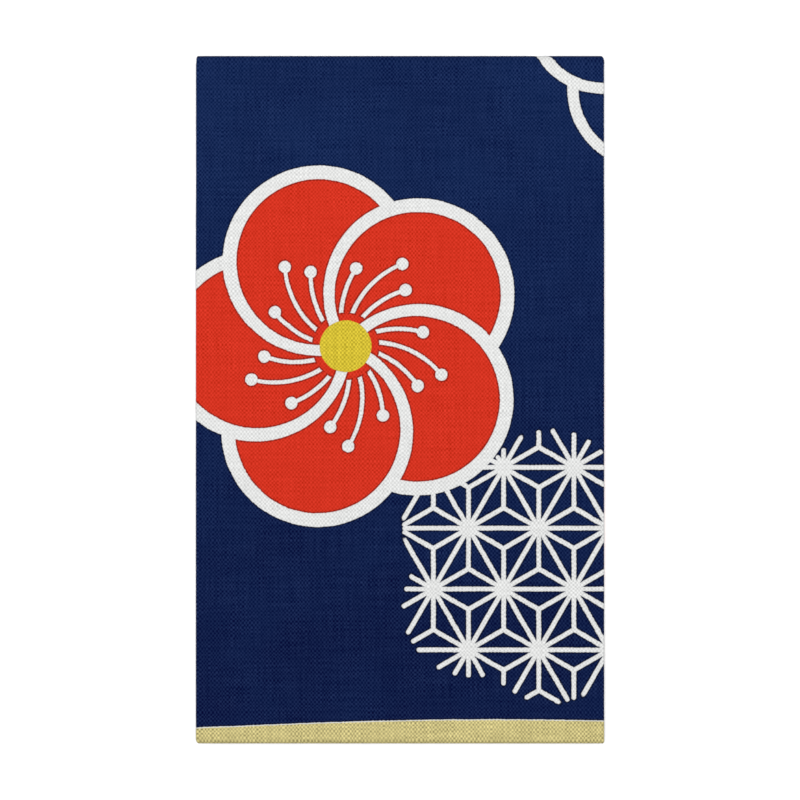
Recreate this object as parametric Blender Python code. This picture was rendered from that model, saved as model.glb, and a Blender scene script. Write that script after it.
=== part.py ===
"""Tenugui towel, folded flat: one cut length of plain-woven cotton.

The cloth is folded in three across its width, with both sides behind the middle,
and the strip that this gives is folded along its length into a flat packet.
The strip is one solid here, as thick as its three layers of cloth. Its sections lie
back and forth on each other, a little apart, and settle where the flap ends.

Frame: metres, +X to the right of the front, +Y up the front and +Z out of the front.
The origin is under the middle of the packet, on the surface that it lies on.
"""

import math
from collections import namedtuple

import bmesh
import bpy

# The cloth, spread out
CLOTH_WIDTH = 0.340
CLOTH_THICKNESS = 0.00035
LAYERS_IN_STRIP = 3

# The strip and the packet that it is folded into
STRIP_WIDTH = CLOTH_WIDTH / LAYERS_IN_STRIP
STRIP_THICKNESS = CLOTH_THICKNESS * LAYERS_IN_STRIP
SECTION_GAP = 0.00035
PITCH = STRIP_THICKNESS + SECTION_GAP
PACKET_LENGTH = 0.191
FLAP_LENGTH = 0.140

# One row for each section, in the cloth's own order from its top end. A level counts
# up from the surface. A section runs along Y by its heading, and its turn or its free
# end stops short of the packet's edge by stop_inset. left and right are how far its
# sides lie inside the front's, and skew is how much further its free end reaches at
# the right side than at the left.
Section = namedtuple("Section", "name level heading stop_inset left right skew")
SECTIONS = (
    Section("flap", 1, -1, 0.0007, 0.0011, 0.0006, 0.0022),
    Section("back", 0, 1, 0.0000, 0.0005, 0.0009, 0.0),
    Section("front", 4, -1, 0.0000, 0.0000, 0.0000, 0.0),
    Section("second", 3, 1, 0.0015, 0.0004, 0.0002, 0.0),
    Section("tail", 2, -1, 0.0028, 0.0002, 0.0007, -0.0014),
)
TOP_LEVEL = max(section.level for section in SECTIONS)
FLAP_LEVEL = SECTIONS[0].level

# How the layers bend over each other
WRAP_RADIUS = 0.0015
SETTLE_START = 0.0010
SETTLE_RUN = 0.0150
CROWN = 0.00045
CROWN_UNEVENNESS = 0.22
SIDE_WAVER = 0.00012

# Wave numbers of the unevenness, in radians a metre, and a shift in radians
CROWN_WAVES_ALONG = 37.0
CROWN_WAVES_ACROSS = 52.0
CROWN_SLANT = 21.0
CROWN_SHIFT = 0.8
WAVER_ALONG = 95.0
WAVER_UPWARD = 900.0

# How finely the strip is divided
STATION_SPACING = 0.0100
END_LEAD = 0.0012
STATIONS_IN_SETTLE = 5
SETTLE_MARGIN = 0.002
QUARTER_TURN_STEPS = 4
COLUMNS = 10
EDGE_ROUND = 0.00032
EDGE_ROUND_STEPS = 2
EDGE_ANGLE = math.radians(60)
MEETING = 0.000001

# Linear colour, roughness and metallic value of the dyed cotton
NAVY = (0.0070, 0.0185, 0.0770, 1.0)
COTTON_ROUGHNESS = 0.90
COTTON_METALLIC = 0.0

# A place along the strip: the middle of its thickness in Y and Z, how far its sides
# lie inside the front's, and how much further along Y its right side is than its left
Station = namedtuple("Station", "y z left right skew")


def clear_scene():
    """Remove whatever the scene holds."""
    for item in list(bpy.data.objects):
        bpy.data.objects.remove(item, do_unlink=True)


def smooth_step(share):
    """A soft ramp from 0 to 1."""
    share = min(max(share, 0.0), 1.0)
    return share * share * (3.0 - 2.0 * share)


def flap_end():
    """Where the flap's free end lies along Y."""
    return FLAP_LENGTH - PACKET_LENGTH / 2


def section_height(level, y):
    """Height of the middle of a section's thickness, settled past the flap's end."""
    height = STRIP_THICKNESS / 2 + level * PITCH
    if level > FLAP_LEVEL:
        height -= PITCH * smooth_step((y - flap_end() - SETTLE_START) / SETTLE_RUN)
    return height


def turn_edge(section):
    """Y of the middle of the thickness, where the section's turn reaches furthest."""
    reach = PACKET_LENGTH / 2 - section.stop_inset - STRIP_THICKNESS / 2
    return section.heading * reach


def turn_radius(section, following):
    """Radius of the turn between two sections, round if they lie next to each other."""
    edge = turn_edge(section)
    height = section_height(section.level, edge) - section_height(following.level, edge)
    return min(WRAP_RADIUS, abs(height) / 2)


def straight_places(start, stop):
    """Y values from start to stop, closer together where the layers settle.

    One lies just inside each end, so that a section stays flat up to its turns.
    """
    lead = math.copysign(END_LEAD, stop - start)
    first, last = start + lead, stop - lead
    count = round(abs(last - first) / STATION_SPACING)
    places = [first + (last - first) * index / count for index in range(count + 1)]
    places = [start] + places + [stop]
    settle_low = flap_end() + SETTLE_START
    settle_high = settle_low + SETTLE_RUN
    low, high = min(start, stop), max(start, stop)
    if low < settle_low and settle_high < high:
        places = [y for y in places
                  if not settle_low - SETTLE_MARGIN < y < settle_high + SETTLE_MARGIN]
        step = SETTLE_RUN / (STATIONS_IN_SETTLE - 1)
        places += [settle_low + step * index for index in range(STATIONS_IN_SETTLE)]
    return sorted(places, reverse=stop < start)


def turn_stations(section, following):
    """Stations round the turn from one section to the next, its ends left out."""
    radius = turn_radius(section, following)
    edge = turn_edge(section)
    middle = edge - section.heading * radius
    start = section_height(section.level, middle)
    stop = section_height(following.level, middle)
    way = math.copysign(1.0, stop - start)
    quarter = [math.pi / 2 * step / QUARTER_TURN_STEPS
               for step in range(QUARTER_TURN_STEPS + 1)]
    leaving = [(middle + section.heading * radius * math.sin(angle),
                start + way * radius * (1 - math.cos(angle))) for angle in quarter]
    entering = [(y, stop - (z - start)) for y, z in reversed(leaving)]
    if abs(leaving[-1][1] - entering[0][1]) < MEETING:
        entering = entering[1:]
    points = (leaving + entering)[1:-1]
    stations = []
    for index, (y, z) in enumerate(points, start=1):
        share = index / (len(points) + 1)
        left = section.left + (following.left - section.left) * share
        right = section.right + (following.right - section.right) * share
        stations.append(Station(y, z, left, right, 0.0))
    return stations


def section_span(index):
    """Y at which a section's straight part starts and stops."""
    section = SECTIONS[index]
    if index == 0:
        start = flap_end()
    else:
        before = SECTIONS[index - 1]
        start = turn_edge(before) - before.heading * turn_radius(before, section)
    if index == len(SECTIONS) - 1:
        stop = section.heading * (PACKET_LENGTH / 2 - section.stop_inset)
    else:
        following = SECTIONS[index + 1]
        stop = turn_edge(section) - section.heading * turn_radius(section, following)
    return start, stop


def strip_stations():
    """Every station along the strip, from the flap's free end to the tail's."""
    stations = []
    for index, section in enumerate(SECTIONS):
        start, stop = section_span(index)
        for y in straight_places(start, stop):
            run = (y - start) / (stop - start)
            share = 1.0 - run if index == 0 else run
            height = section_height(section.level, y)
            skew = section.skew * smooth_step(share)
            stations.append(Station(y, height, section.left, section.right, skew))
        if index < len(SECTIONS) - 1:
            stations += turn_stations(section, SECTIONS[index + 1])
    return stations


def crown(x, y):
    """How far the packet swells at a place, as a share of its most, a little uneven."""
    across = 1.0 - (2.0 * x / STRIP_WIDTH) ** 4
    along = 1.0 - (2.0 * y / PACKET_LENGTH) ** 6
    uneven = math.sin(CROWN_WAVES_ALONG * y + CROWN_SHIFT)
    uneven *= math.cos(CROWN_WAVES_ACROSS * x - CROWN_SLANT * y)
    return max(0.0, across) * max(0.0, along) * (1.0 + CROWN_UNEVENNESS * uneven)


def folded_place(station, across):
    """Where a point of the strip lies, across running from -0.5 to 0.5.

    The lowest section lies on the surface, so it is flat and its sides are straight.
    """
    height = (station.z - STRIP_THICKNESS / 2) / (TOP_LEVEL * PITCH)
    waver = SIDE_WAVER * math.sin(WAVER_ALONG * station.y + WAVER_UPWARD * station.z)
    waver *= smooth_step(TOP_LEVEL * height)
    if station.left + station.right == 0.0:
        waver = 0.0
    left = -STRIP_WIDTH / 2 + station.left + waver
    right = STRIP_WIDTH / 2 - station.right + waver
    x = left + (right - left) * (across + 0.5)
    y = station.y + station.skew * across
    return x, y, station.z + height * CROWN * crown(x, y)


def folded_strip():
    """The middle surface of the strip, a grid bent along its stations."""
    stations = strip_stations()
    rows = len(stations) - 1
    mesh = bpy.data.meshes.new("towel")
    sheet = bmesh.new()
    bmesh.ops.create_grid(sheet, x_segments=COLUMNS, y_segments=rows, size=0.5)
    for point in sheet.verts:
        row = round((point.co.y + 0.5) * rows)
        point.co = folded_place(stations[row], point.co.x)
    sheet.to_mesh(mesh)
    sheet.free()
    return mesh


def dyed_cotton():
    """Matt navy cotton."""
    material = bpy.data.materials.new("dyed cotton")
    material.use_nodes = True
    shader = material.node_tree.nodes["Principled BSDF"]
    shader.inputs["Base Color"].default_value = NAVY
    shader.inputs["Roughness"].default_value = COTTON_ROUGHNESS
    shader.inputs["Metallic"].default_value = COTTON_METALLIC
    return material


def add_thickness(towel):
    """Give the strip the thickness of its layers and round its side folds and ends."""
    layers = towel.modifiers.new("layers of cloth", "SOLIDIFY")
    layers.thickness = STRIP_THICKNESS
    layers.offset = 0.0
    edges = towel.modifiers.new("soft edges", "BEVEL")
    edges.width = EDGE_ROUND
    edges.segments = EDGE_ROUND_STEPS
    edges.limit_method = "ANGLE"
    edges.angle_limit = EDGE_ANGLE


def make_towel():
    """The folded towel, as one object."""
    towel = bpy.data.objects.new("towel", folded_strip())
    bpy.context.scene.collection.objects.link(towel)
    towel.data.materials.append(dyed_cotton())
    add_thickness(towel)
    towel.data.shade_smooth()
    return towel


clear_scene()
make_towel()
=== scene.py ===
# %% [markdown]
# # A folded tenugui towel
#
# A tenugui is one thin length of plain-woven cotton, dyed with flowers and other old
# patterns, with no hem at its ends. Here it lies folded into a flat packet, as it is
# kept in a drawer: in three across its width, then back and forth along its length.
# This notebook loads the packed solid, which has the packet's true size, and dresses
# it with a real cloth: one flat sheet that is folded by two short functions.

# %% Load the packed solid
import bisect
import math
from collections import namedtuple

import bmesh
import bpy
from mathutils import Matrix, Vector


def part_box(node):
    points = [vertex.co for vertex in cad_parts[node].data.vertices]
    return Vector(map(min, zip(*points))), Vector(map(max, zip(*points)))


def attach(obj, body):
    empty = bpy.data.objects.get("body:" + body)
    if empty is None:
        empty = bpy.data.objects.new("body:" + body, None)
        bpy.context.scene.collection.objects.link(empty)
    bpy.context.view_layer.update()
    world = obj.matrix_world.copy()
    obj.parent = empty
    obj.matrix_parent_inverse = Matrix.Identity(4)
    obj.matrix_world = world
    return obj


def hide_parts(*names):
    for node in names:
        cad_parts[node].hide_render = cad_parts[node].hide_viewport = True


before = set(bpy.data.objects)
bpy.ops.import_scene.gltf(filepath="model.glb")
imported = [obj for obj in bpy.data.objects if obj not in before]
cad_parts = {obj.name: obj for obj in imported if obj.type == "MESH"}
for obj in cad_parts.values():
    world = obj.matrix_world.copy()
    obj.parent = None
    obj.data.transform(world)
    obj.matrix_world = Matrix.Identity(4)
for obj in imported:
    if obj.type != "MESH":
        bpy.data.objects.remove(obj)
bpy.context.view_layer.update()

MM = 0.001
CLOTH_WIDTH = 0.340
CLOTH_LENGTH = 0.900
PACKET_WIDTH = CLOTH_WIDTH / 3
PACKET_LENGTH = 0.191
packet_low, packet_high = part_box("towel")
print("packet, in mm:", [round(side / MM, 2) for side in packet_high - packet_low])

# %% [markdown]
# ## The camera
#
# The picture is taken straight from above, so the packet shows as a plain rectangle.
# A short lens close by would spread its sides apart with their height, so a long lens
# far away is used, which keeps them parallel. The picture is 800 pixels wide and one
# pixel shows 0.278 mm of the packet, which gives the width of the view.

# %% The camera
IMAGE_PIXELS = 800
PIXEL_SIZE = 0.278 * MM
VIEW_MIDDLE_Y = -0.14 * MM
LENS_MM = 320.0
SENSOR_MM = 36.0

camera_data = bpy.data.cameras.new("camera")
camera_data.lens = LENS_MM
camera_data.sensor_width = SENSOR_MM
camera = bpy.data.objects.new("camera", camera_data)
packet_middle = (packet_low.z + packet_high.z) / 2
camera_height = packet_middle + IMAGE_PIXELS * PIXEL_SIZE * LENS_MM / SENSOR_MM
camera.location = (0.0, VIEW_MIDDLE_Y, camera_height)
bpy.context.scene.collection.objects.link(camera)
bpy.context.scene.camera = camera
bpy.context.scene.view_settings.view_transform = "Standard"
print("camera height, in mm:", round(camera_height / MM, 1))

# %% [markdown]
# ## The cloth and its layers
#
# Fifteen layers of the cloth lie in the packet, so each has less than half a
# millimetre. The strip that the first two folds make has three layers, and its
# sections lie on each other in the order of their levels. Each row below is one
# section, from the top end of the cloth: how far down the cloth it ends, its level in
# the stack, which way it runs, how far inside the packet's edge it turns back or ends,
# how far its sides lie inside the front's, and how askew its free end is. The small
# differences between the rows are what makes the layers show at the packet's sides.

# %% Sizes of the cloth and of its sections
CLOTH_THICKNESS = 0.32 * MM
LAYER_PITCH = 0.45 * MM
LAYERS_IN_STRIP = 3
STRIP_PITCH = LAYERS_IN_STRIP * LAYER_PITCH
STRIP_REACH = LAYER_PITCH + CLOTH_THICKNESS / 2

Section = namedtuple("Section", "name ends_at level heading inset left right skew")
SECTIONS = (
    Section("flap", 0.140, 1, -1, 0.7 * MM, 1.1 * MM, 0.6 * MM, 2.2 * MM),
    Section("back", 0.331, 0, 1, 0.0, 0.5 * MM, 0.9 * MM, 0.0),
    Section("front", 0.522, 4, -1, 0.0, 0.0, 0.0, 0.0),
    Section("second", 0.711, 3, 1, 1.5 * MM, 0.4 * MM, 0.2 * MM, 0.0),
    Section("tail", 0.900, 2, -1, 2.8 * MM, 0.2 * MM, 0.7 * MM, -1.4 * MM),
)
FLAP_LEVEL = SECTIONS[0].level
FLAP_END = SECTIONS[0].ends_at - PACKET_LENGTH / 2
print("sections:", [section.name for section in SECTIONS])
print("layers of cloth:", LAYERS_IN_STRIP * len(SECTIONS))

# %% [markdown]
# ## The way along the strip
#
# Seen from the side, the strip runs along straight sections and round tight turns.
# The folding could be simulated, but a pressed packet is so regular that its way can
# be laid out exactly, and then no layer cuts into the next. Past the end of the flap
# there is one section less, so the ones above it settle onto the back. The turn from
# the back to the front spans the levels of all the others, so it has two corners
# with an upright piece between them.

# %% Heights and turns, seen from the side
SETTLE_START = 1.0 * MM
SETTLE_RUN = 15.0 * MM
WRAP_RADIUS = 1.5 * MM


def smooth_step(share):
    """A soft ramp from 0 to 1."""
    share = min(max(share, 0.0), 1.0)
    return share * share * (3.0 - 2.0 * share)


def section_height(level, y):
    """Height of the middle of the strip in a section."""
    height = STRIP_REACH + level * STRIP_PITCH
    if level > FLAP_LEVEL:
        height -= STRIP_PITCH * smooth_step((y - FLAP_END - SETTLE_START) / SETTLE_RUN)
    return height


def turn_edge(section):
    """Where the middle of the strip reaches furthest in a section's turn."""
    return section.heading * (PACKET_LENGTH / 2 - section.inset - STRIP_REACH)


def turn_radius(section, following):
    """Radius of a turn, or of the two corners of one that spans several levels."""
    edge = turn_edge(section)
    rise = section_height(section.level, edge) - section_height(following.level, edge)
    return min(WRAP_RADIUS, abs(rise) / 2)


for section, following in zip(SECTIONS, SECTIONS[1:]):
    radius = round(turn_radius(section, following) / MM, 2)
    print("turn from", section.name, "to", following.name, "has a radius, in mm:", radius)

# %% [markdown]
# ## The places of the way
#
# The way is a list of places. Each says where the middle of the strip is, how far
# the strip's sides lie inside the front's, and how askew it lies. They are close
# together round a turn and wider apart on a straight section, which bends but little.

# %% The places of the way
STRAIGHT_STEP = 1.5 * MM
TURN_STEPS = 6

Place = namedtuple("Place", "y z left right skew")


def turn_places(section, following):
    """The places round a turn, with its two ends."""
    radius = turn_radius(section, following)
    middle = turn_edge(section) - section.heading * radius
    start = section_height(section.level, middle)
    stop = section_height(following.level, middle)
    way = math.copysign(1.0, stop - start)
    places = []
    for step in range(2 * TURN_STEPS + 2):
        entering = step > TURN_STEPS
        quarter = (2 * TURN_STEPS + 1 - step if entering else step) / TURN_STEPS
        out = radius * math.sin(quarter * math.pi / 2)
        up = radius * (1.0 - math.cos(quarter * math.pi / 2))
        z = stop - way * up if entering else start + way * up
        share = smooth_step(step / (2 * TURN_STEPS + 1))
        left = section.left + (following.left - section.left) * share
        right = section.right + (following.right - section.right) * share
        places.append(Place(middle + section.heading * out, z, left, right, 0.0))
    return places


def straight_places(section, start, stop, free_start):
    """The places along a section, with its two ends."""
    count = round(abs(stop - start) / STRAIGHT_STEP)
    places = []
    for step in range(count + 1):
        y = start + (stop - start) * step / count
        share = 1.0 - step / count if free_start else step / count
        skew = section.skew * smooth_step(share)
        z = section_height(section.level, y)
        places.append(Place(y, z, section.left, section.right, skew))
    return places


def strip_way():
    """All places along the strip, and which of them are the middles of the turns."""
    turns = [turn_places(*pair) for pair in zip(SECTIONS, SECTIONS[1:])]
    tail_end = SECTIONS[-1].heading * (PACKET_LENGTH / 2 - SECTIONS[-1].inset)
    places = []
    turn_middles = []
    for index, section in enumerate(SECTIONS):
        start = turns[index - 1][-1].y if index else FLAP_END
        stop = turns[index][0].y if index < len(turns) else tail_end
        straight = straight_places(section, start, stop, index == 0)
        places += straight if index == 0 else straight[1:]
        if index < len(turns):
            turn_middles.append(len(places) + len(turns[index]) // 2 - 1)
            places += turns[index][1:]
    return places, turn_middles


places, turn_middles = strip_way()
lengths = [0.0]
for before, after in zip(places, places[1:]):
    step = math.hypot(after.y - before.y, after.z - before.z)
    lengths.append(lengths[-1] + step)
print("way along the strip, in mm:", round(lengths[-1] / MM, 1))

# %% [markdown]
# ## From the flat cloth to the way
#
# A place on the cloth is measured down it from its top end. The fold lines of the
# cloth have to fall on the middles of the turns, so the cloth is laid on the way
# section by section, each stretched or pressed by a hair to fit. The way has corners
# from step to step, so the side that the print faces is averaged between them, which
# keeps the layers evenly apart round the turns.

# %% Along the strip
marks_on_cloth = [0.0] + [section.ends_at for section in SECTIONS]
marks_on_way = [0.0] + [lengths[index] for index in turn_middles] + [lengths[-1]]


def share_between(low, high, value):
    """Where a value lies between two others, as a share."""
    return (value - low) / (high - low)


def print_side(here, share):
    """Unit vector in Y and Z that the print faces, turning smoothly from step to step."""
    sides = []
    for corner in (here - 1, here):
        before = places[max(corner - 1, 0)]
        after = places[min(corner + 1, len(places) - 1)]
        run = math.hypot(after.y - before.y, after.z - before.z)
        sides.append(((after.z - before.z) / run, (before.y - after.y) / run))
    side = [a + (b - a) * share for a, b in zip(*sides)]
    size = math.hypot(*side)
    return side[0] / size, side[1] / size


def along(down):
    """Place of the strip's middle and the print's side, for a distance down the cloth."""
    index = min(bisect.bisect_right(marks_on_cloth, down), len(marks_on_cloth) - 1)
    share = share_between(marks_on_cloth[index - 1], marks_on_cloth[index], down)
    length = marks_on_way[index - 1] * (1 - share) + marks_on_way[index] * share
    here = min(bisect.bisect_right(lengths, length), len(lengths) - 1)
    share = share_between(lengths[here - 1], lengths[here], length)
    ends = zip(places[here - 1], places[here])
    return Place(*(a + (b - a) * share for a, b in ends)), print_side(here, share)


MIDDLE_OF_FRONT = (SECTIONS[1].ends_at + SECTIONS[2].ends_at) / 2
print("in the middle of the front, the print faces:", along(MIDDLE_OF_FRONT)[1])

# %% [markdown]
# ## Folding in three across the width
#
# Across the strip, the middle third is the face, the right third turns in behind it,
# and the left third wraps round both. A fold that has been pressed isn't round: its
# bends are sharp, which keeps the packet's corners crisp. Raising the sine and cosine
# of a turn to a power below one presses its circle towards a square. The right fold is
# so tight that it stays almost round, or its layers would touch.

# %% Across the strip
EDGE = PACKET_WIDTH / 2 - CLOTH_THICKNESS / 2
LEFT_FOLD = PACKET_WIDTH
RIGHT_FOLD = 2 * PACKET_WIDTH
LEFT_TURN = LAYER_PITCH
RIGHT_TURN = LAYER_PITCH / 2
LEFT_BEND = math.pi * LEFT_TURN
RIGHT_BEND = math.pi * RIGHT_TURN
LEFT_PRESSED = 0.6
RIGHT_PRESSED = 0.95
SELVEDGE_INSET = 1.2 * MM


def pressed(angle, power):
    """Sine and cosine of an angle, their circle pressed towards a square."""
    waves = math.sin(angle), math.cos(angle)
    return [math.copysign(abs(wave) ** power, wave) for wave in waves]


def across(over):
    """X on the face and the offset to the print's side, for a distance across."""
    left_start = LEFT_FOLD - LEFT_BEND / 2
    left_stop = LEFT_FOLD + LEFT_BEND / 2
    right_start = RIGHT_FOLD - RIGHT_BEND / 2
    right_stop = RIGHT_FOLD + RIGHT_BEND / 2
    left_x = -EDGE + LEFT_TURN
    right_x = EDGE - RIGHT_TURN
    if over < left_start:
        free = EDGE - SELVEDGE_INSET
        share = share_between(left_start, 0.0, over)
        return left_x + (free - left_x) * share, -LAYER_PITCH
    if over < left_stop:
        angle = math.pi * share_between(left_start, left_stop, over)
        out, down = pressed(angle, LEFT_PRESSED)
        return left_x - LEFT_TURN * out, -LEFT_TURN * down
    if over < right_start:
        share = share_between(left_stop, right_start, over)
        return left_x + (right_x - left_x) * share, LAYER_PITCH
    if over < right_stop:
        angle = math.pi * share_between(right_start, right_stop, over)
        out, up = pressed(angle, RIGHT_PRESSED)
        return right_x + RIGHT_TURN * out, RIGHT_TURN * (1 + up)
    free = -EDGE + CLOTH_THICKNESS + SELVEDGE_INSET
    share = share_between(right_stop, CLOTH_WIDTH, over)
    return right_x + (free - right_x) * share, 0.0


print("the folds reach to, in mm:",
      [round(across(fold)[0] / MM, 2) for fold in (LEFT_FOLD, RIGHT_FOLD)])

# %% [markdown]
# ## How the packet swells
#
# No folded cloth is quite flat. The packet swells a little in its middle, and a few
# soft troughs cross it where it was pressed. Both could be sculpted by hand, but as
# functions they stretch the whole stack upward from the surface, so that no layer can
# cut into another. Each trough is a row: where it starts and ends on the front, how
# deep it is, and how wide. The waves of the unevenness are in radians a metre.

# %% Swell and troughs
CROWN = 0.45 * MM
UNEVENNESS = 0.22
WAVES_ALONG = 37.0
WAVES_ACROSS = 52.0
WAVES_SLANT = 21.0
WAVES_SHIFT = 0.8
TROUGH_FADE = 3

Trough = namedtuple("Trough", "x0 y0 x1 y1 depth width")
TROUGHS = (
    Trough(-0.050, 0.052, 0.012, 0.071, 0.10 * MM, 5.0 * MM),
    Trough(-0.018, -0.078, 0.051, -0.052, 0.11 * MM, 6.0 * MM),
    Trough(0.021, 0.014, 0.055, 0.031, 0.08 * MM, 4.5 * MM),
    Trough(-0.055, -0.030, -0.020, -0.046, 0.09 * MM, 5.5 * MM),
    Trough(-0.006, -0.092, 0.004, -0.064, 0.07 * MM, 4.0 * MM),
)


def trough_depth(trough, x, y):
    """How deep a trough is at a place of the front, fading in and out at its ends."""
    dx, dy = trough.x1 - trough.x0, trough.y1 - trough.y0
    reach = math.hypot(dx, dy)
    run = ((x - trough.x0) * dx + (y - trough.y0) * dy) / reach
    off = ((x - trough.x0) * dy - (y - trough.y0) * dx) / reach
    ends = smooth_step(run / reach * TROUGH_FADE)
    ends *= smooth_step((reach - run) / reach * TROUGH_FADE)
    return trough.depth * ends * math.exp(-(off / trough.width) ** 2)


def swell(x, y):
    """How much higher than flat the top of the stack is at a place."""
    dome = max(0.0, 1.0 - (2.0 * x / PACKET_WIDTH) ** 4)
    dome *= max(0.0, 1.0 - (2.0 * y / PACKET_LENGTH) ** 6)
    waves = math.sin(WAVES_ALONG * y + WAVES_SHIFT)
    waves *= math.cos(WAVES_ACROSS * x - WAVES_SLANT * y)
    height = CROWN * dome * (1.0 + UNEVENNESS * waves)
    return height - sum(trough_depth(trough, x, y) for trough in TROUGHS)


print("swell in the middle, in mm:", round(swell(0.0, 0.0) / MM, 3))

# %% [markdown]
# ## A place in the packet
#
# Here the folds come together: a point of the cloth goes along the strip by its
# distance down, across it by its distance over, and up with the swell. Layers seen
# from the side never lie quite in line, so all but the front's wander by a hair. A
# wave that also runs with the height moves each layer in a way of its own, with no
# list of shifts.

# %% A place in the packet
STACK = (len(SECTIONS) - 1) * STRIP_PITCH
SIDE_WAVER = 0.14 * MM
WAVER_ALONG = 95.0
WAVER_UPWARD = 900.0


def side_waver(middle, offset):
    """How far a layer wanders sideways, but for the front, whose sides are straight."""
    if middle.left + middle.right == 0.0:
        return 0.0
    wave = WAVER_ALONG * middle.y + WAVER_UPWARD * (middle.z + offset)
    return SIDE_WAVER * math.sin(wave)


def folded_place(over, down):
    """Where a point of the flat cloth lies in the packet."""
    middle, side = along(down)
    x, offset = across(over)
    share = x / PACKET_WIDTH + 0.5
    x += middle.left * (1 - share) - middle.right * share + side_waver(middle, offset)
    y = middle.y + offset * side[0] + middle.skew * (share - 0.5)
    z = middle.z + offset * side[1]
    above = max(0.0, z - STRIP_REACH) / STACK
    return x, y, z + above * swell(x, y)


print("corner of the cloth lies at, in mm:",
      [round(value / MM, 2) for value in folded_place(0.0, 0.0)])

# %% [markdown]
# ## Cutting the mesh to fit the folds
#
# A flat grid is bent best where its rows fall on the fold lines, with many close rows
# in each tight turn and wide ones between. An even grid as fine as the turns need would
# have millions of faces. So the distances across and down are listed first, and the
# grid gets one row for each.

# %% Where the rows of the grid go
WIDE_STEP_ACROSS = 3.3 * MM
WIDE_STEP_DOWN = 3.2 * MM
BEND_ROWS = 12
TURN_ROWS = 12
BEND_REACH = 0.6
TURN_REACH = 3.4 * MM


def evenly(start, stop, step):
    """Values from start to stop, about one step apart."""
    count = max(1, round((stop - start) / step))
    return [start + (stop - start) * index / count for index in range(count + 1)]


def rows_with_bends(length, bends, wide_step):
    """Values from 0 to length, close together round each bend's middle."""
    rows = []
    start = 0.0
    for middle, reach, count in bends:
        rows += evenly(start, middle - reach, wide_step)
        rows += evenly(middle - reach, middle + reach, 2 * reach / count)[1:-1]
        start = middle + reach
    return rows + evenly(start, length, wide_step)


bends_across = (
    (LEFT_FOLD, BEND_REACH * LEFT_BEND, BEND_ROWS),
    (RIGHT_FOLD, BEND_REACH * RIGHT_BEND, BEND_ROWS),
)
bends_down = [(section.ends_at, TURN_REACH, TURN_ROWS) for section in SECTIONS[:-1]]
overs = rows_with_bends(CLOTH_WIDTH, bends_across, WIDE_STEP_ACROSS)
downs = rows_with_bends(CLOTH_LENGTH, bends_down, WIDE_STEP_DOWN)
print("rows across and down:", len(overs), len(downs))

# %% [markdown]
# ## Folding the sheet
#
# The grid operator makes an even grid, and each of its points moves to the folded
# place of its row and column. Its flat place is kept as the UV map, which the dye and
# the weave read later, so the pattern runs on over every fold as on real cloth. A
# Solidify modifier gives the sheet its thickness, half to each side.

# %% Fold the flat grid
def folded_cloth():
    """The cloth as one sheet without thickness, with its flat place as its UV map."""
    sheet = bmesh.new()
    columns, rows = len(overs) - 1, len(downs) - 1
    bmesh.ops.create_grid(sheet, x_segments=columns, y_segments=rows, size=0.5)
    flat = sheet.loops.layers.uv.new("cloth")
    for point in sheet.verts:
        over = overs[round((point.co.x + 0.5) * columns)]
        down = downs[round((0.5 - point.co.y) * rows)]
        point.co = folded_place(over, down)
        for loop in point.link_loops:
            loop[flat].uv = (over / CLOTH_WIDTH, 1.0 - down / CLOTH_LENGTH)
    for face in sheet.faces:
        face.smooth = True
    mesh = bpy.data.meshes.new("folded_cloth")
    sheet.to_mesh(mesh)
    sheet.free()
    return mesh


cloth = bpy.data.objects.new("folded_cloth", folded_cloth())
bpy.context.scene.collection.objects.link(cloth)
thickness = cloth.modifiers.new("thickness", "SOLIDIFY")
thickness.thickness = CLOTH_THICKNESS
thickness.offset = 0.0
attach(cloth, "root")
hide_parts("towel")
print("faces of the sheet:", len(cloth.data.polygons))

# %% [markdown]
# ## Shader maths in plain expressions
#
# A pattern made of nodes is a sum of many small steps. Laying hundreds of nodes out by
# hand, or naming each in the script, hides what they work out. Wrapping a socket in a
# class with operators lets each step be written as ordinary maths, and the class adds
# the Math nodes. Every other node comes from one method.

# %% A socket that takes operators
class Wire:
    """One output socket of a node tree, which Python's operators work on."""

    def __init__(self, tree, socket):
        self.tree = tree
        self.socket = socket

    def node(self, kind, settings=None, sockets=None, output=0):
        """Add a node: its settings first, then the values or wires of its sockets."""
        made = self.tree.nodes.new(kind)
        for name, value in (settings or {}).items():
            setattr(made, name, value)
        for name, value in (sockets or {}).items():
            if isinstance(value, Wire):
                self.tree.links.new(value.socket, made.inputs[name])
            else:
                made.inputs[name].default_value = value
        return Wire(self.tree, made.outputs[output])

    def maths(self, operation, *values, clamp=False):
        """Add a Math node on this wire and the values."""
        sockets = dict(enumerate((self, *values)))
        settings = {"operation": operation, "use_clamp": clamp}
        return self.node("ShaderNodeMath", settings, sockets)

    def __add__(self, other):
        return self.maths("ADD", other)

    def __radd__(self, other):
        return self.maths("ADD", other)

    def __sub__(self, other):
        return self.maths("SUBTRACT", other)

    def __rsub__(self, other):
        return self.maths("MULTIPLY_ADD", -1.0, other)

    def __mul__(self, other):
        return self.maths("MULTIPLY", other)

    def __rmul__(self, other):
        return self.maths("MULTIPLY", other)

    def __truediv__(self, other):
        return self.maths("DIVIDE", other)

    def __abs__(self):
        return self.maths("ABSOLUTE")

    def __neg__(self):
        return self.maths("MULTIPLY", -1.0)


print("methods that add nodes:", [name for name in vars(Wire) if name[0] != "_"])

# %% [markdown]
# ## Shapes as distances
#
# The dye could be painted as a picture, but that blurs close by. It is drawn with
# distances here: a value below zero is inside a shape, and its size is how far off the
# edge lies, in millimetres. The smaller of two distances puts two shapes together, and
# the larger one leaves what they share. Such a drawing is sharp however close it is.

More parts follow.
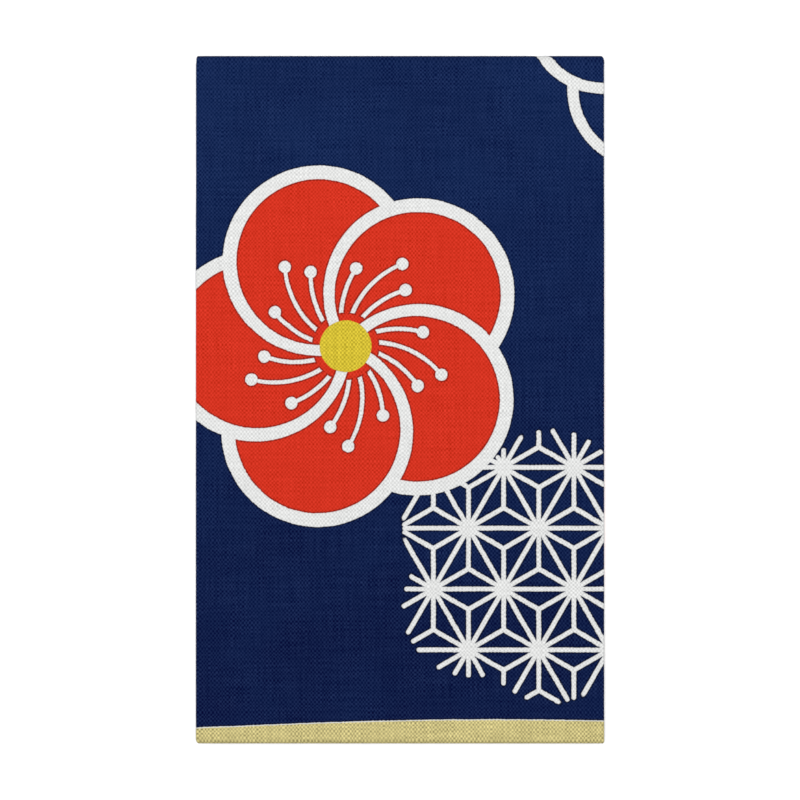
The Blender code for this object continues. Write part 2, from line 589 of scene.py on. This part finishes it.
# %% Shapes put together
def least(*wires):
    """The smallest of some wires: shapes put together."""
    result = wires[0]
    for wire in wires[1:]:
        result = result.maths("MINIMUM", wire)
    return result


def most(*wires):
    """The largest of some wires: where shapes overlap."""
    result = wires[0]
    for wire in wires[1:]:
        result = result.maths("MAXIMUM", wire)
    return result


def length_of(x, y):
    """Length of a vector with two parts."""
    return (x * x + y * y).maths("SQRT")


def rounded_most(first, second, round_size):
    """Where two shapes overlap, with round corners where their edges cross."""
    u = (first + round_size).maths("MAXIMUM", 0.0)
    v = (second + round_size).maths("MAXIMUM", 0.0)
    return length_of(u, v) + most(first, second).maths("MINIMUM", -round_size)


print("shapes are put together by:",
      [helper.__name__ for helper in (least, most, rounded_most)])

# %% [markdown]
# ## One figure at a time
#
# Each kind of figure is drawn once, and its middle, reach and turn are wires. What
# they carry comes from a list with a row for each figure, chosen by the distance down
# the cloth. Drawing every figure on its own would need many times as many nodes.

# %% Rows of figures down the cloth
Blossom = namedtuple("Blossom", "below over down reach turn")


def by_rows(down, rows, field):
    """A row's value, as chosen by the distance down the cloth."""
    value = getattr(rows[0], field)
    for before, row in zip(rows, rows[1:]):
        change = getattr(row, field) - getattr(before, field)
        step = down.maths("GREATER_THAN", row.below)
        value = step.maths("MULTIPLY_ADD", change, value)
    return value


def chosen(down, rows):
    """The row that is drawn at a distance down the cloth, its values as wires."""
    return Blossom(0, *(by_rows(down, rows, field) for field in Blossom._fields[1:]))


print("a figure's row takes:", Blossom._fields)

# %% [markdown]
# ## The plum blossom
#
# A twisted plum blossom is an old pattern of five round petals that overlap like the
# leaves of a pinwheel, each over the next. Only one fifth of it is worked out, because
# an angle folded into one fifth of a turn brings every petal onto the first. A petal
# is a disc half a reach in radius, whose edge passes through the blossom's middle.
# Unwinding the twist makes the seen part of a petal a plain sector, in which the
# stamens are straight. All its sizes are in reaches, from its middle to the tip of a
# petal, but the widths of its lines are in millimetres on a blossom that reaches 50 mm.

# %% The plum blossom
PETALS = 5
FIFTH = math.tau / PETALS
LINE_REACH = 50
OUTLINE = 3.8
PETAL_LINE = 3.0
WIDENS_FROM = 0.30
WIDENS_TO = 0.80
MIDDLE_SIZE = 0.145
STAMEN_START = 0.19
FILAMENT = 0.011
FILAMENT_SLANT = 0.92
STAMEN_TIP = 0.034

Stamen = namedtuple("Stamen", "lean length")
STAMENS = (Stamen(0.0, 0.56), Stamen(0.33, 0.44), Stamen(-0.33, 0.46))


def petal_polar(over, down, row):
    """Distance from the blossom's middle in reaches, and the angle in one fifth."""
    x = over - row.over
    y = row.down - down
    angle = y.maths("ARCTAN2", x) - row.turn
    return length_of(x, y) / row.reach, (angle / FIFTH).maths("FRACT") * FIFTH


def petal_edge(radius, angle, index):
    """Distance from the edge of one petal's disc, in reaches."""
    turned = (angle - index * FIFTH).maths("COSINE")
    return (radius * radius - radius * turned + 0.25).maths("SQRT") - 0.5


def stamen(radius, unwound, lean, length):
    """A thin filament with a round tip, in reaches. lean is its angle off the middle."""
    off = unwound + FIFTH / 2 - lean
    line = most(abs(radius * off) * FILAMENT_SLANT - FILAMENT,
                STAMEN_START - radius, radius - length)
    slope = length / math.sqrt(1.0 - length * length)
    out = radius - length
    tip = length_of(out, off * length - out * slope) - STAMEN_TIP
    return least(line, tip)


def blossom(over, down, rows):
    """Distances in mm from a blossom's body, its white lines and its middle."""
    row = chosen(down, rows)
    radius, angle = petal_polar(over, down, row)
    before, here, after = (petal_edge(radius, angle, index) for index in (-1, 0, 1))
    body = least(before, here, after)
    wide = share_between(WIDENS_FROM, WIDENS_TO, radius).maths("ADD", 0.0, clamp=True)
    half = (wide * (OUTLINE - PETAL_LINE) + PETAL_LINE) / 2 / LINE_REACH
    lines = least(abs(before) - half, most(abs(here) - half, -before),
                  most(abs(after) - half, -here))
    unwound = angle - radius.maths("MINIMUM", 1.0).maths("ARCCOSINE")
    unwound = (unwound / FIFTH).maths("FRACT") * FIFTH - FIFTH
    for lean, length in STAMENS:
        lines = least(lines, stamen(radius, unwound, lean, length))
    lines = least(lines, abs(body) - half)
    return body * row.reach, lines * row.reach, (radius - MIDDLE_SIZE) * row.reach


print("stamens of a blossom:", PETALS * len(STAMENS))

# %% [markdown]
# ## The hemp leaf
#
# Hemp leaf is a lattice of triangles, with three more strokes in each triangle from
# its corners to its middle. Both sets of strokes lie on lines in three directions, so
# one family is drawn and turned twice. The strokes from the corners are dashes that
# leave out the middle third of their line. Each patch of it is cut out in the shape of
# a blossom. A stroke ends where its middle line leaves the patch, so its end is square
# with round corners, however slantwise it meets the outline. Cutting all strokes by the
# outline itself would leave thin slivers. Sizes are in millimetres.

# %% The hemp leaf
LEAF_SIDE = 19.5
LEAF_LINE = 1.25
LEAF_HUB = 2.5
STROKE_END = 0.55
LEAF_OVER = 3.8
LEAF_DOWN = 6.5


def off_nearest(value, spacing):
    """Signed distance from the nearest multiple of a spacing."""
    return value - (value / spacing).maths("ROUND") * spacing


def patch_outline(over, down, row):
    """Distance in mm from the outline of a patch, which is a ring of five discs."""
    x = over - row.over
    y = row.down - down
    off = (y.maths("ARCTAN2", x) - row.turn).maths("PINGPONG", FIFTH / 2)
    radius = length_of(x, y) / row.reach
    disc = (radius * radius - radius * off.maths("COSINE") + 0.25).maths("SQRT")
    return (disc - 0.5) * row.reach


def hemp_leaf(over, down, rows):
    """Distance in mm from the strokes and the hubs of a patch of hemp leaf."""
    row = chosen(down, rows)
    rise = LEAF_SIDE * math.sqrt(3) / 2
    shapes = []
    for step in range(3):
        cos, sin = math.cos(step * math.pi / 3), math.sin(step * math.pi / 3)
        x = (over - LEAF_OVER) * cos + (down - LEAF_DOWN) * sin
        y = (down - LEAF_DOWN) * cos - (over - LEAF_OVER) * sin

        # The sides of the triangles
        off = off_nearest(y, rise)
        patch = patch_outline(over + off * sin, down - off * cos, row)
        shapes.append(rounded_most(abs(off) - LEAF_LINE / 2, patch, STROKE_END))

        # The dashes from their corners
        column = (x / (LEAF_SIDE / 2)).maths("ROUND")
        odd = (column / 2.0).maths("FRACT") * 2.0
        side = x - column * (LEAF_SIDE / 2)
        run = off_nearest(y + odd * rise, 2 * rise)
        past = (abs(run) - 2 * rise / 3).maths("MAXIMUM", 0.0)
        patch = patch_outline(over - side * cos, down - side * sin, row)
        dash = length_of(side, past) - LEAF_LINE / 2
        shapes.append(rounded_most(dash, patch, STROKE_END))

        # The hub on each corner, where it lies wholly inside the patch
        if step == 0:
            patch = patch_outline(over - side, down - run, row) + LEAF_HUB
            shapes.append(most(length_of(side, run) - LEAF_HUB, patch))
    return least(*shapes)


print("hemp leaf side, in mm:", LEAF_SIDE)

# %% [markdown]
# ## The layout of the dye
#
# The blossoms, the blossoms in outline and the hemp-leaf patches lie in loose groups
# down the cloth. Each list has a row for each figure: the distance down the cloth
# from which it is the one drawn, its middle, its reach and its turn. All are in
# millimetres on the flat cloth, from its top left corner.

# %% Where the figures lie
RED_BLOSSOMS = (
    Blossom(0, 250, 66, 41, 0.30),
    Blossom(150, 150, 236, 43, 0.95),
    Blossom(333, 155, 412, 49.5, 0.62),
    Blossom(560, 92, 660, 44, 0.20),
    Blossom(735, 226, 806, 47, 1.05),
)
LINE_BLOSSOMS = (
    Blossom(0, 96, 92, 34, 0.70),
    Blossom(146, 216, 203, 33, 0.15),
    Blossom(262, 247, 322, 41, 0.52),
    Blossom(420, 284, 462, 34, 0.10),
    Blossom(560, 160, 706, 37, 0.80),
    Blossom(745, 152, 850, 33, 0.40),
)
LEAF_PATCHES = (
    Blossom(0, 195, 103, 35, 0.20),
    Blossom(165, 100, 271, 40, 0.00),
    Blossom(400, 206, 473, 39, 1.25),
    Blossom(560, 47, 723, 40, 0.20),
    Blossom(762, 283, 855, 38, 1.10),
)
print("figures:", len(RED_BLOSSOMS) + len(LINE_BLOSSOMS) + len(LEAF_PATCHES))

# %% [markdown]
# ## The gold band
#
# A plain gold band crosses the cloth, with a thin undyed line along each edge. It
# begins just before the front turns under, so a few millimetres of it show. Its edges
# could be straight lines, but a hand-dyed band wanders, so both swing in a slow wave.

# %% The gold band
GOLD_TOP = 517.6
GOLD_BOTTOM = 596.0
TOP_SWING = 2.0
BOTTOM_SWING = 5.0
GOLD_WAVE = 0.021
GOLD_SHIFT = 196.0
GOLD_LINE = 0.24


def gold_band(over, down):
    """Distance from the gold band, whose edges swing gently up and down."""
    wave = ((over - GOLD_SHIFT) * GOLD_WAVE).maths("COSINE")
    top = GOLD_TOP - wave * TOP_SWING
    bottom = GOLD_BOTTOM + wave * BOTTOM_SWING
    return most(top - down, down - bottom)


print("gold on the front, in mm:", round(SECTIONS[2].ends_at / MM - GOLD_TOP, 1))

# %% [markdown]
# ## Unevenness
#
# Nothing in hand-dyed cloth is even: the threads, the edges of the figures and the
# strength of the dye all wander. Each kind of wandering is a noise with a row of its
# own: its scale in spots to a millimetre, its detail, a shift that keeps it apart from
# the others, and its size. Noise on a place that is scaled unevenly runs along one way,
# as a thick stretch of yarn does.

# %% Noise
SHIFT_SLANT = 1.7

Grain = namedtuple("Grain", "scale detail shift size")


def noise(place, grain):
    """Soft noise about zero, up to about the grain's size."""
    moved = place.node("ShaderNodeVectorMath", {"operation": "ADD"},
                       {0: place, 1: (grain.shift, SHIFT_SLANT * grain.shift, 0.0)})
    value = place.node("ShaderNodeTexNoise", {"noise_dimensions": "2D"},
                       {"Vector": moved, "Scale": grain.scale, "Detail": grain.detail})
    return value * (2.0 * grain.size) - grain.size


def stretched(place, over, down):
    """The flat place, scaled unevenly, so that a noise on it runs along one way."""
    return place.node("ShaderNodeVectorMath", {"operation": "MULTIPLY"},
                      {0: place, 1: (over, down, 0.0)})


print("a grain takes:", Grain._fields)

# %% [markdown]
# ## The weave
#
# Plain weave is the simplest there is: each thread goes over one and under the next.
# Real threads would need millions of faces, and show no more from here than bump does.
# One product of two sine waves says which set of threads is on top, and each set is
# round across its threads. No two threads lie quite as far apart as the next two, so
# each set is shifted a little by a noise that is stretched along its threads.

# %% Plain weave
WARP_PITCH = 0.515
WEFT_PITCH = 0.59
ALONG_THREADS = 0.14
WARP_SHIFT = Grain(0.55, 2.0, 11.0, 0.42)
WEFT_SHIFT = Grain(0.50, 2.0, 12.0, 0.42)
THREAD_ROUNDNESS = 0.6
THREAD_LEVEL = 0.62
THREAD_RISE = 0.38


def thread_height(wave, rise):
    """Height of one set of threads, round across each thread."""
    return abs(wave).maths("POWER", THREAD_ROUNDNESS) * (rise + THREAD_LEVEL)


def plain_weave(place, over, down):
    """Height of the threads from 0 to 1, and which set is on top, from -1 to 1."""
    over = over + noise(stretched(place, 1.0, ALONG_THREADS), WARP_SHIFT)
    down = down + noise(stretched(place, ALONG_THREADS, 1.0), WEFT_SHIFT)
    warp = (over * (math.pi / WARP_PITCH)).maths("SINE")
    weft = (down * (math.pi / WEFT_PITCH)).maths("SINE")
    top = warp * weft
    warp_height = thread_height(warp, top * THREAD_RISE)
    weft_height = thread_height(weft, top * -THREAD_RISE)
    return most(warp_height, weft_height), top


print("threads in the cloth:", round(CLOTH_WIDTH / MM / WARP_PITCH), "by",
      round(CLOTH_LENGTH / MM / WEFT_PITCH))

# %% [markdown]
# ## Thick yarn and fuzz
#
# Where a warp thread is on top the cloth looks paler than where a weft thread is.
# Yarn isn't even: it looks paler along its thick stretches, which are a centimetre or
# so long, and fuzz breaks up the pattern. All of this shows more in some patches of
# the cloth than in others.

# %% How pale each thread is
ALONG_YARN = 0.05
WARP_YARN = Grain(1.5, 2.0, 1.0, 0.5)
WEFT_YARN = Grain(1.4, 2.0, 2.0, 0.5)
FUZZ = Grain(1.3, 1.0, 4.0, 0.5)
PATCHES = Grain(0.12, 2.0, 5.0, 0.55)
PATCH_LEVEL = 0.95
TOP_SHADE = 1.05


def thread_shade(place, top):
    """How pale a place is: by the thread on top, by thick yarn and by fuzz."""
    yarn = noise(stretched(place, 1.0, ALONG_YARN), WARP_YARN)
    yarn = yarn + noise(stretched(place, ALONG_YARN, 1.0), WEFT_YARN)
    patches = noise(place, PATCHES) + PATCH_LEVEL
    return patches * (top * TOP_SHADE + yarn + noise(place, FUZZ))


stretch_of_yarn = 1 / ALONG_YARN / WARP_YARN.scale
print("thick stretches of yarn are about, in mm:", round(stretch_of_yarn, 1))

# %% [markdown]
# ## The dyes
#
# Each dye has a colour and a number for how strongly the weave shows in it: the pale
# gold shows its threads most, and the undyed cotton least. One dye is laid over
# another by a mask that follows a distance. The paste that keeps the dye off follows
# the threads, so the mask's edge is jagged by part of a thread.

# %% Dye colours
Dye = namedtuple("Dye", "colour contrast")
NAVY_PALE = Dye((0.0056, 0.0183, 0.0762, 1.0), 0.80)
NAVY_DEEP = Dye((0.0018, 0.0056, 0.0390, 1.0), 0.80)
RED = Dye((0.528, 0.0258, 0.0108, 1.0), 0.79)
YELLOW = Dye((0.530, 0.415, 0.0295, 1.0), 1.19)
GOLD = Dye((0.489, 0.425, 0.184, 1.0), 1.66)
UNDYED = Dye((0.631, 0.636, 0.630, 1.0), 0.73)
EDGE_SOFTNESS = 0.20


def covered(distance, jag):
    """How much of a place lies inside a shape, with an edge that follows the threads."""
    return (0.5 - (distance + jag) / EDGE_SOFTNESS).maths("ADD", 0.0, clamp=True)


def laid(share, ground, dye):
    """A dye laid over the ground by a share, with how strongly the weave shows in it.

    A Mix node calls its sockets the same for every kind of data, so they go by number.
    """
    colour = share.node("ShaderNodeMix", {"data_type": "RGBA"},
                        {0: share, 6: ground.colour, 7: dye.colour}, output=2)
    contrast = share.node("ShaderNodeMix", {"data_type": "FLOAT"},
                          {0: share, 2: ground.contrast, 3: dye.contrast})
    return Dye(colour, contrast)


pale_to_deep = NAVY_PALE.colour[2] / NAVY_DEEP.colour[2]
print("the palest navy is as many times as light as the deepest:", round(pale_to_deep, 2))

# %% [markdown]
# ## Dyeing the figures
#
# The dye is poured onto the cloth and sinks in unevenly, so the navy has clouds in it
# and gathers in a thin dark rim beside the paste. A slow swing down the cloth makes the
# dyes paler at the top of the front and darker at its bottom: this is painted light
# falloff, and in the navy partly a deeper dye as well. The figures' lines waver as they
# do when paste is laid by hand.
# The real dyes are poured one by one, each inside its ring of paste. Here they are
# laid over each other in the order in which the figures hide one another.

# %% Dye the figures
# Painted light falloff: the dyes are paler at the top of the front and darker at its
# bottom; in the navy this is partly deeper dye.
DRIFT_WAVE = 0.0157
DRIFT_START = 331.0
FALLOFF_AND_DYE_SHARE = 0.22
SHADE_SHARE = 0.23
CLOUDS = Grain(0.035, 3.0, 7.0, 0.29)
FINE_WAVER = Grain(1.7, 1.0, 3.0, 0.11)
WIDE_WAVER = Grain(0.22, 1.0, 9.0, 0.10)
RIM_WIDTH = 0.42
RIM_DEPTH = 0.50


def painted_falloff_and_dye_drift(down):
    """Painted light falloff down the cloth, partly deeper dye, from -1 to 1."""
    return ((down - DRIFT_START) * DRIFT_WAVE).maths("COSINE")


def navy(place, down, shade):
    """The navy ground: clouds, and painted falloff with partly deeper dye down the cloth.
    """
    # The navy is paler or deeper by clouds, by the threads' light and shade, and down the
    # cloth by painted falloff with deeper dye.
    share = painted_falloff_and_dye_drift(down) * FALLOFF_AND_DYE_SHARE + noise(place, CLOUDS) + shade * SHADE_SHARE
    return laid(share + 0.5, NAVY_DEEP, NAVY_PALE)


def with_rim(dye, distance, jag):
    """A dye that is darker close to a shape."""
    rim = covered(distance - RIM_WIDTH, jag)
    darker = rim.node("ShaderNodeVectorMath", {"operation": "SCALE"},
                      {0: dye.colour, "Scale": 1.0 - rim * RIM_DEPTH})
    return Dye(darker, dye.contrast)


def dyed(place, over, down, shade, jag):
    """The dye at a place: the figures laid over the navy."""
    waver = noise(place, FINE_WAVER) + noise(place, WIDE_WAVER)
    over = over + waver
    down = down - waver
    red_body, red_lines, red_middle = blossom(over, down, RED_BLOSSOMS)
    body, lines, middle = blossom(over, down, LINE_BLOSSOMS)
    leaves = hemp_leaf(over, down, LEAF_PATCHES)
    gold = gold_band(over, down)
    yellow = least(most(middle, -red_body), red_middle)

    # Each figure hides the paste of the ones under it
    paste = least(most(leaves, -body), lines)
    paste = least(most(paste, -middle, -red_body), red_lines)
    paste = least(most(paste, -red_middle, -gold), abs(gold) - GOLD_LINE / 2)

    dye = laid(covered(red_body, jag), navy(place, down, shade), RED)
    dye = with_rim(dye, least(paste, gold), jag)
    dye = laid(covered(yellow, jag), dye, YELLOW)
    dye = laid(covered(gold, jag), dye, GOLD)
    return laid(covered(paste, jag), dye, UNDYED)


print("the drift repeats after, in mm:", round(math.tau / DRIFT_WAVE))

# %% [markdown]
# ## Dyed cotton
#
# The cotton itself is matt, with hardly any gloss. The light and shade of its threads
# is laid over the dye, a little greyer where it is paler. The threads' relief is less
# than a tenth of a millimetre, which bump shows well enough. The flat map is scaled to
# millimetres first, so every size above is a real one.

# %% Dyed cotton
THREAD_JAG = 0.05
SHADE_TINT = 0.235
SHADE_GREY = 0.0045
# Painted light falloff: how much paler every dye is at the top of the front, and darker at
# its bottom.
PAINTED_FALLOFF_TINT = 0.02
BUMP_STRENGTH = 0.6
THREAD_RELIEF = 0.08 * MM
ROUGH_BETWEEN = 0.86
ROUGH_ON_TOP = 0.94
GLOSS = 0.06


def flat_place(tree):
    """The place on the flat cloth in mm, from its top left corner."""
    flat = Wire(tree, None).node("ShaderNodeUVMap", {"uv_map": "cloth"})
    width, length = CLOTH_WIDTH / MM, CLOTH_LENGTH / MM
    return flat.node("ShaderNodeVectorMath", {"operation": "MULTIPLY_ADD"},
                     {0: flat, 1: (width, -length, 0.0), 2: (0.0, length, 0.0)})


def shaded_dye(dye, shade, down):
    """The colour of a dye, with the threads' light and shade and a painted falloff in it.
    """
    # Painted light: the threads' light and shade, and the falloff from the top of the
    # front to its bottom.
    painted_light_scale = shade * dye.contrast * SHADE_TINT + painted_falloff_and_dye_drift(down) * PAINTED_FALLOFF_TINT + 1.0
    colour = painted_light_scale.node("ShaderNodeVectorMath", {"operation": "SCALE"},
                       {0: dye.colour, "Scale": painted_light_scale})
    return colour.node("ShaderNodeVectorMath", {"operation": "ADD"},
                       {0: colour, 1: shade * SHADE_GREY})


def dyed_cotton():
    """Matt plain-woven cotton with its dyed figures, read from the flat map."""
    material = bpy.data.materials.new("dyed_plain_weave")
    material.use_nodes = True
    tree = material.node_tree
    shader = tree.nodes["Principled BSDF"]
    place = flat_place(tree)
    over = place.node("ShaderNodeSeparateXYZ", sockets={0: place})
    down = Wire(tree, over.socket.node.outputs[1])
    height, top = plain_weave(place, over, down)
    shade = thread_shade(place, top)
    dye = dyed(place, over, down, shade, top * THREAD_JAG)
    colour = shaded_dye(dye, shade, down)
    bump = height.node("ShaderNodeBump", {}, {"Strength": BUMP_STRENGTH,
                                              "Distance": THREAD_RELIEF, "Height": height})
    rough = height * (ROUGH_ON_TOP - ROUGH_BETWEEN) + ROUGH_BETWEEN
    tree.links.new(colour.socket, shader.inputs["Base Color"])
    tree.links.new(bump.socket, shader.inputs["Normal"])
    tree.links.new(rough.socket, shader.inputs["Roughness"])
    shader.inputs["Specular IOR Level"].default_value = GLOSS
    return material


cloth.data.materials.append(dyed_cotton())
print("nodes of the cotton:", len(cloth.data.materials[0].node_tree.nodes))

# %% [markdown]
# ## Floor and light
#
# The packet lies on a plain white table. Most of the light comes softly from straight
# above, so hardly a shadow shows beside the packet, and a little comes from the upper
# left, which gives the folds and the weave some shape. The floor is far wider than
# the view, so that its edge doesn't show.

# %% Floor
FLOOR_SIZE = 6.0
FLOOR_COLOUR = (0.96, 0.96, 0.96, 1.0)
FLOOR_ROUGHNESS = 0.95
FLOOR_GLOSS = 0.1


def plain_floor():
    """A pale matt floor."""
    grid = bmesh.new()
    bmesh.ops.create_grid(grid, x_segments=1, y_segments=1, size=FLOOR_SIZE / 2)
    mesh = bpy.data.meshes.new("floor")
    grid.to_mesh(mesh)
    grid.free()
    material = bpy.data.materials.new("pale_floor")
    material.use_nodes = True
    shader = material.node_tree.nodes["Principled BSDF"]
    shader.inputs["Base Color"].default_value = FLOOR_COLOUR
    shader.inputs["Roughness"].default_value = FLOOR_ROUGHNESS
    shader.inputs["Specular IOR Level"].default_value = FLOOR_GLOSS
    mesh.materials.append(material)
    floor = bpy.data.objects.new("floor", mesh)
    bpy.context.scene.collection.objects.link(floor)
    return floor


plain_floor()
print("floor, in m:", FLOOR_SIZE)

# %% Light
WORLD_STRENGTH = 0.19

Lamp = namedtuple("Lamp", "name x y z size watts")
LAMPS = (
    Lamp("overhead", 0.0, 0.0, 2.40, 0.40, 54.0),
    Lamp("window", -0.75, 0.80, 1.30, 1.10, 4.8),
)


def hang(lamp):
    """A square soft lamp that faces the packet."""
    light_data = bpy.data.lights.new(lamp.name, "AREA")
    light_data.size = lamp.size
    light_data.energy = lamp.watts
    light = bpy.data.objects.new(lamp.name, light_data)
    light.location = (lamp.x, lamp.y, lamp.z)
    light.rotation_euler = (-light.location).to_track_quat("-Z", "Y").to_euler()
    bpy.context.scene.collection.objects.link(light)


for lamp in LAMPS:
    hang(lamp)
world = bpy.data.worlds.new("studio")
world.use_nodes = True
background = world.node_tree.nodes["Background"]
background.inputs["Color"].default_value = (1.0, 1.0, 1.0, 1.0)
background.inputs["Strength"].default_value = WORLD_STRENGTH
bpy.context.scene.world = world
print("lamps:", [lamp.name for lamp in LAMPS])

# %% [markdown] The cloth has to fill the same box as the packed
# solid.
